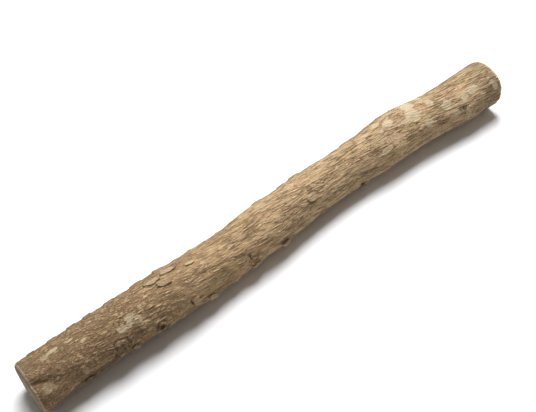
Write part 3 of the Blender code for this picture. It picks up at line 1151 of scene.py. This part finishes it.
# %% [markdown]
# ## The sawn wood
# Cut root wood dries to a dull beige, warmer and paler towards its heart, with faint rings, fine
# rays and a scatter of pores. Here its colours are painted darker and greyer, as painted shade,
# because the thick end's cut faces away from the light. The bark shows round it as a thin brown
# ring. The depth below the bark, which the mesh carries, draws the heart, the rings and the bark,
# and noise draws the rest.

# %% Colours of the cut
# The wood's base colour is painted darker than dry root wood: painted shade for a cut that faces
# away from the lamp.
WOOD_IN_PAINTED_SHADE = (0.29, 0.24, 0.17, 1)
WOOD_HEART = (0.40, 0.315, 0.20, 1)
WOOD_RING = (0.21, 0.165, 0.115, 1)
PORE_BROWN = (0.11, 0.08, 0.055, 1)
INNER_BARK = (0.13, 0.10, 0.07, 1)
RING_WAVES = 5.2  # radians for each mm of depth
RAY_FINENESS = 11.0


def rays(tree):
    """Fine lines from the middle of the cut to its bark."""
    place = mark_of(tree, "grain", "Vector")
    flat = add_node(tree, "ShaderNodeVectorMath", {0: place, 1: (0, 1, 1)}, operation="MULTIPLY")
    way = add_node(tree, "ShaderNodeVectorMath", {0: flat.outputs[0]}, operation="NORMALIZE")
    inputs = {"Vector": way.outputs[0], "Scale": RAY_FINENESS, "Detail": 3.0}
    return add_node(tree, "ShaderNodeTexNoise", inputs).outputs["Fac"]


def wood_colour(tree, pores):
    depth = mark_of(tree, "depth")
    wander = times(tree, grain_pattern(tree, 1, 2.4, offset=3), 1.6)
    turns = times(tree, plus(tree, depth, wander), RING_WAVES)
    colour = blend(tree, spread(tree, depth, 1.2, 4.5), WOOD_IN_PAINTED_SHADE, WOOD_HEART)
    rings = spread(tree, math(tree, "SINE", turns), 0.1, 1, 0, 0.4)
    colour = blend(tree, rings, colour, WOOD_RING)
    colour = shaded(tree, colour, spread(tree, rays(tree), 0.35, 0.6, 0.82, 1.08))
    colour = blend(tree, spread(tree, pores, 0.62, 0.72, 0, 0.8), colour, PORE_BROWN)
    stain = grain_pattern(tree, 1, 2.4, detail=4, offset=17)
    colour = blend(tree, spread(tree, stain, 0.45, 0.75, 0, 0.4), colour, WOOD_RING)
    edge = plus(tree, depth, times(tree, wander, 0.22))
    return blend(tree, spread(tree, edge, 1.15, 0.85), colour, INNER_BARK)


def wood_material():
    material, tree = new_material("sawn_wood")
    pores = grain_pattern(tree, 1, 0.16, detail=1)
    colour = wood_colour(tree, pores)
    height = plus(tree, pores, times(tree, grain_pattern(tree, 1, 0.5), 1.5))
    relief = bump(tree, height, depth=0.10, strength=0.7)
    dress(tree, colour, relief, roughness=0.92, shine=0.2)
    return material


# %% Give the stick its two finishes
stick.data.materials.append(bark_material())
stick.data.materials.append(wood_material())
for index in cut_faces:
    stick.data.polygons[index].material_index = 1
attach(stick, "root")
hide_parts("miswak_stick")
print("cut faces:", len(cut_faces))

# %% Give the plates the same bark, and the slivers their own
plates.data.materials.append(stick.data.materials[0])
slivers.data.materials.append(sliver_material())
for piece in (plates, slivers):
    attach(piece, "root")
print("materials:", [material.name for material in bpy.data.materials])

# %% [markdown]
# ## Table, light and camera
# The stick lies on a plain white table. One large soft light stands behind it, towards the thin
# end, so that the far upper side is bright and the thick end falls into shade. A pale world
# fills the shadows, as the walls of a light tent do. Far out the table glows a little, and the
# camera sees the tent as plain white, so a low view has no dark band behind the stick.

# %% The table
TABLE_SIDE = 20.0
TABLE_WHITE = (0.93, 0.93, 0.93, 1)
GLOW_FROM = (0.2, 0.5)
GLOW = 0.75
WHITE = (1, 1, 1, 1)


def lay_table():
    bm = bmesh.new()
    bmesh.ops.create_grid(bm, x_segments=1, y_segments=1, size=TABLE_SIDE / 2)
    table = make_piece(bm, "table", {})
    material, tree = new_material("white_table")
    place = add_node(tree, "ShaderNodeTexCoord").outputs["Object"]
    away = add_node(tree, "ShaderNodeVectorMath", {0: place}, operation="LENGTH").outputs["Value"]
    glow = spread(tree, away, *GLOW_FROM, 0, GLOW)
    set_shader(tree, {"Base Color": TABLE_WHITE, "Roughness": 0.9})
    set_shader(tree, {"Emission Color": WHITE, "Emission Strength": glow})
    table.data.materials.append(material)


lay_table()

# %% The light
WINDOW_PLACE = (0.20, 0.21, 0.515)
WINDOW_AIM = (0.03, 0, 0)
WINDOW_SIZE = 0.36
WINDOW_WATTS = 5.65
WINDOW_COLOUR = (1, 1.01, 1.04)
TENT_COLOUR = (1, 0.935, 0.86, 1)
TENT_STRENGTH = 0.20
BACKDROP_STRENGTH = 0.95


def hang_light():
    lamp = bpy.data.lights.new("window", "AREA")
    lamp.shape = "DISK"
    lamp.size = WINDOW_SIZE
    lamp.energy = WINDOW_WATTS
    lamp.color = WINDOW_COLOUR
    light = bpy.data.objects.new("window", lamp)
    light.location = WINDOW_PLACE
    way = Vector(WINDOW_AIM) - Vector(WINDOW_PLACE)
    light.rotation_euler = way.to_track_quat("-Z", "Y").to_euler()
    bpy.context.scene.collection.objects.link(light)


def pitch_tent():
    """A pale world round the table, which the camera itself sees as plain white."""
    world = bpy.data.worlds.new("light_tent")
    world.use_nodes = True
    tree, tent = world.node_tree, world.node_tree.nodes["Background"]
    seen = add_node(tree, "ShaderNodeLightPath").outputs["Is Camera Ray"]
    feed(tree, tent.inputs["Color"], blend(tree, seen, TENT_COLOUR, WHITE))
    strength = spread(tree, seen, 0, 1, TENT_STRENGTH, BACKDROP_STRENGTH)
    feed(tree, tent.inputs["Strength"], strength)
    bpy.context.scene.world = world


hang_light()
pitch_tent()
bpy.context.scene.view_settings.view_transform = "Standard"
print("a lamp of", WINDOW_WATTS, "W hangs", WINDOW_PLACE[2], "m above the table")

# %% The camera, as the photograph was taken: close, and looking down along the stick
CAMERA_PLACE = Vector((-62.33, -145.26, 229.46)) * MM
CAMERA_TURN = (35.63, 8.58, -35.19)
LENS = 68.68

camera = bpy.data.objects.new("camera", bpy.data.cameras.new("camera"))
camera.data.lens = LENS
camera.data.clip_start = 0.01
camera.location = CAMERA_PLACE + step_to_frame
camera.rotation_euler = Euler(np.radians(CAMERA_TURN))
bpy.context.scene.collection.objects.link(camera)
bpy.context.scene.camera = camera
print("the camera stands", round(camera.location.length, 3), "m from the stick's middle")
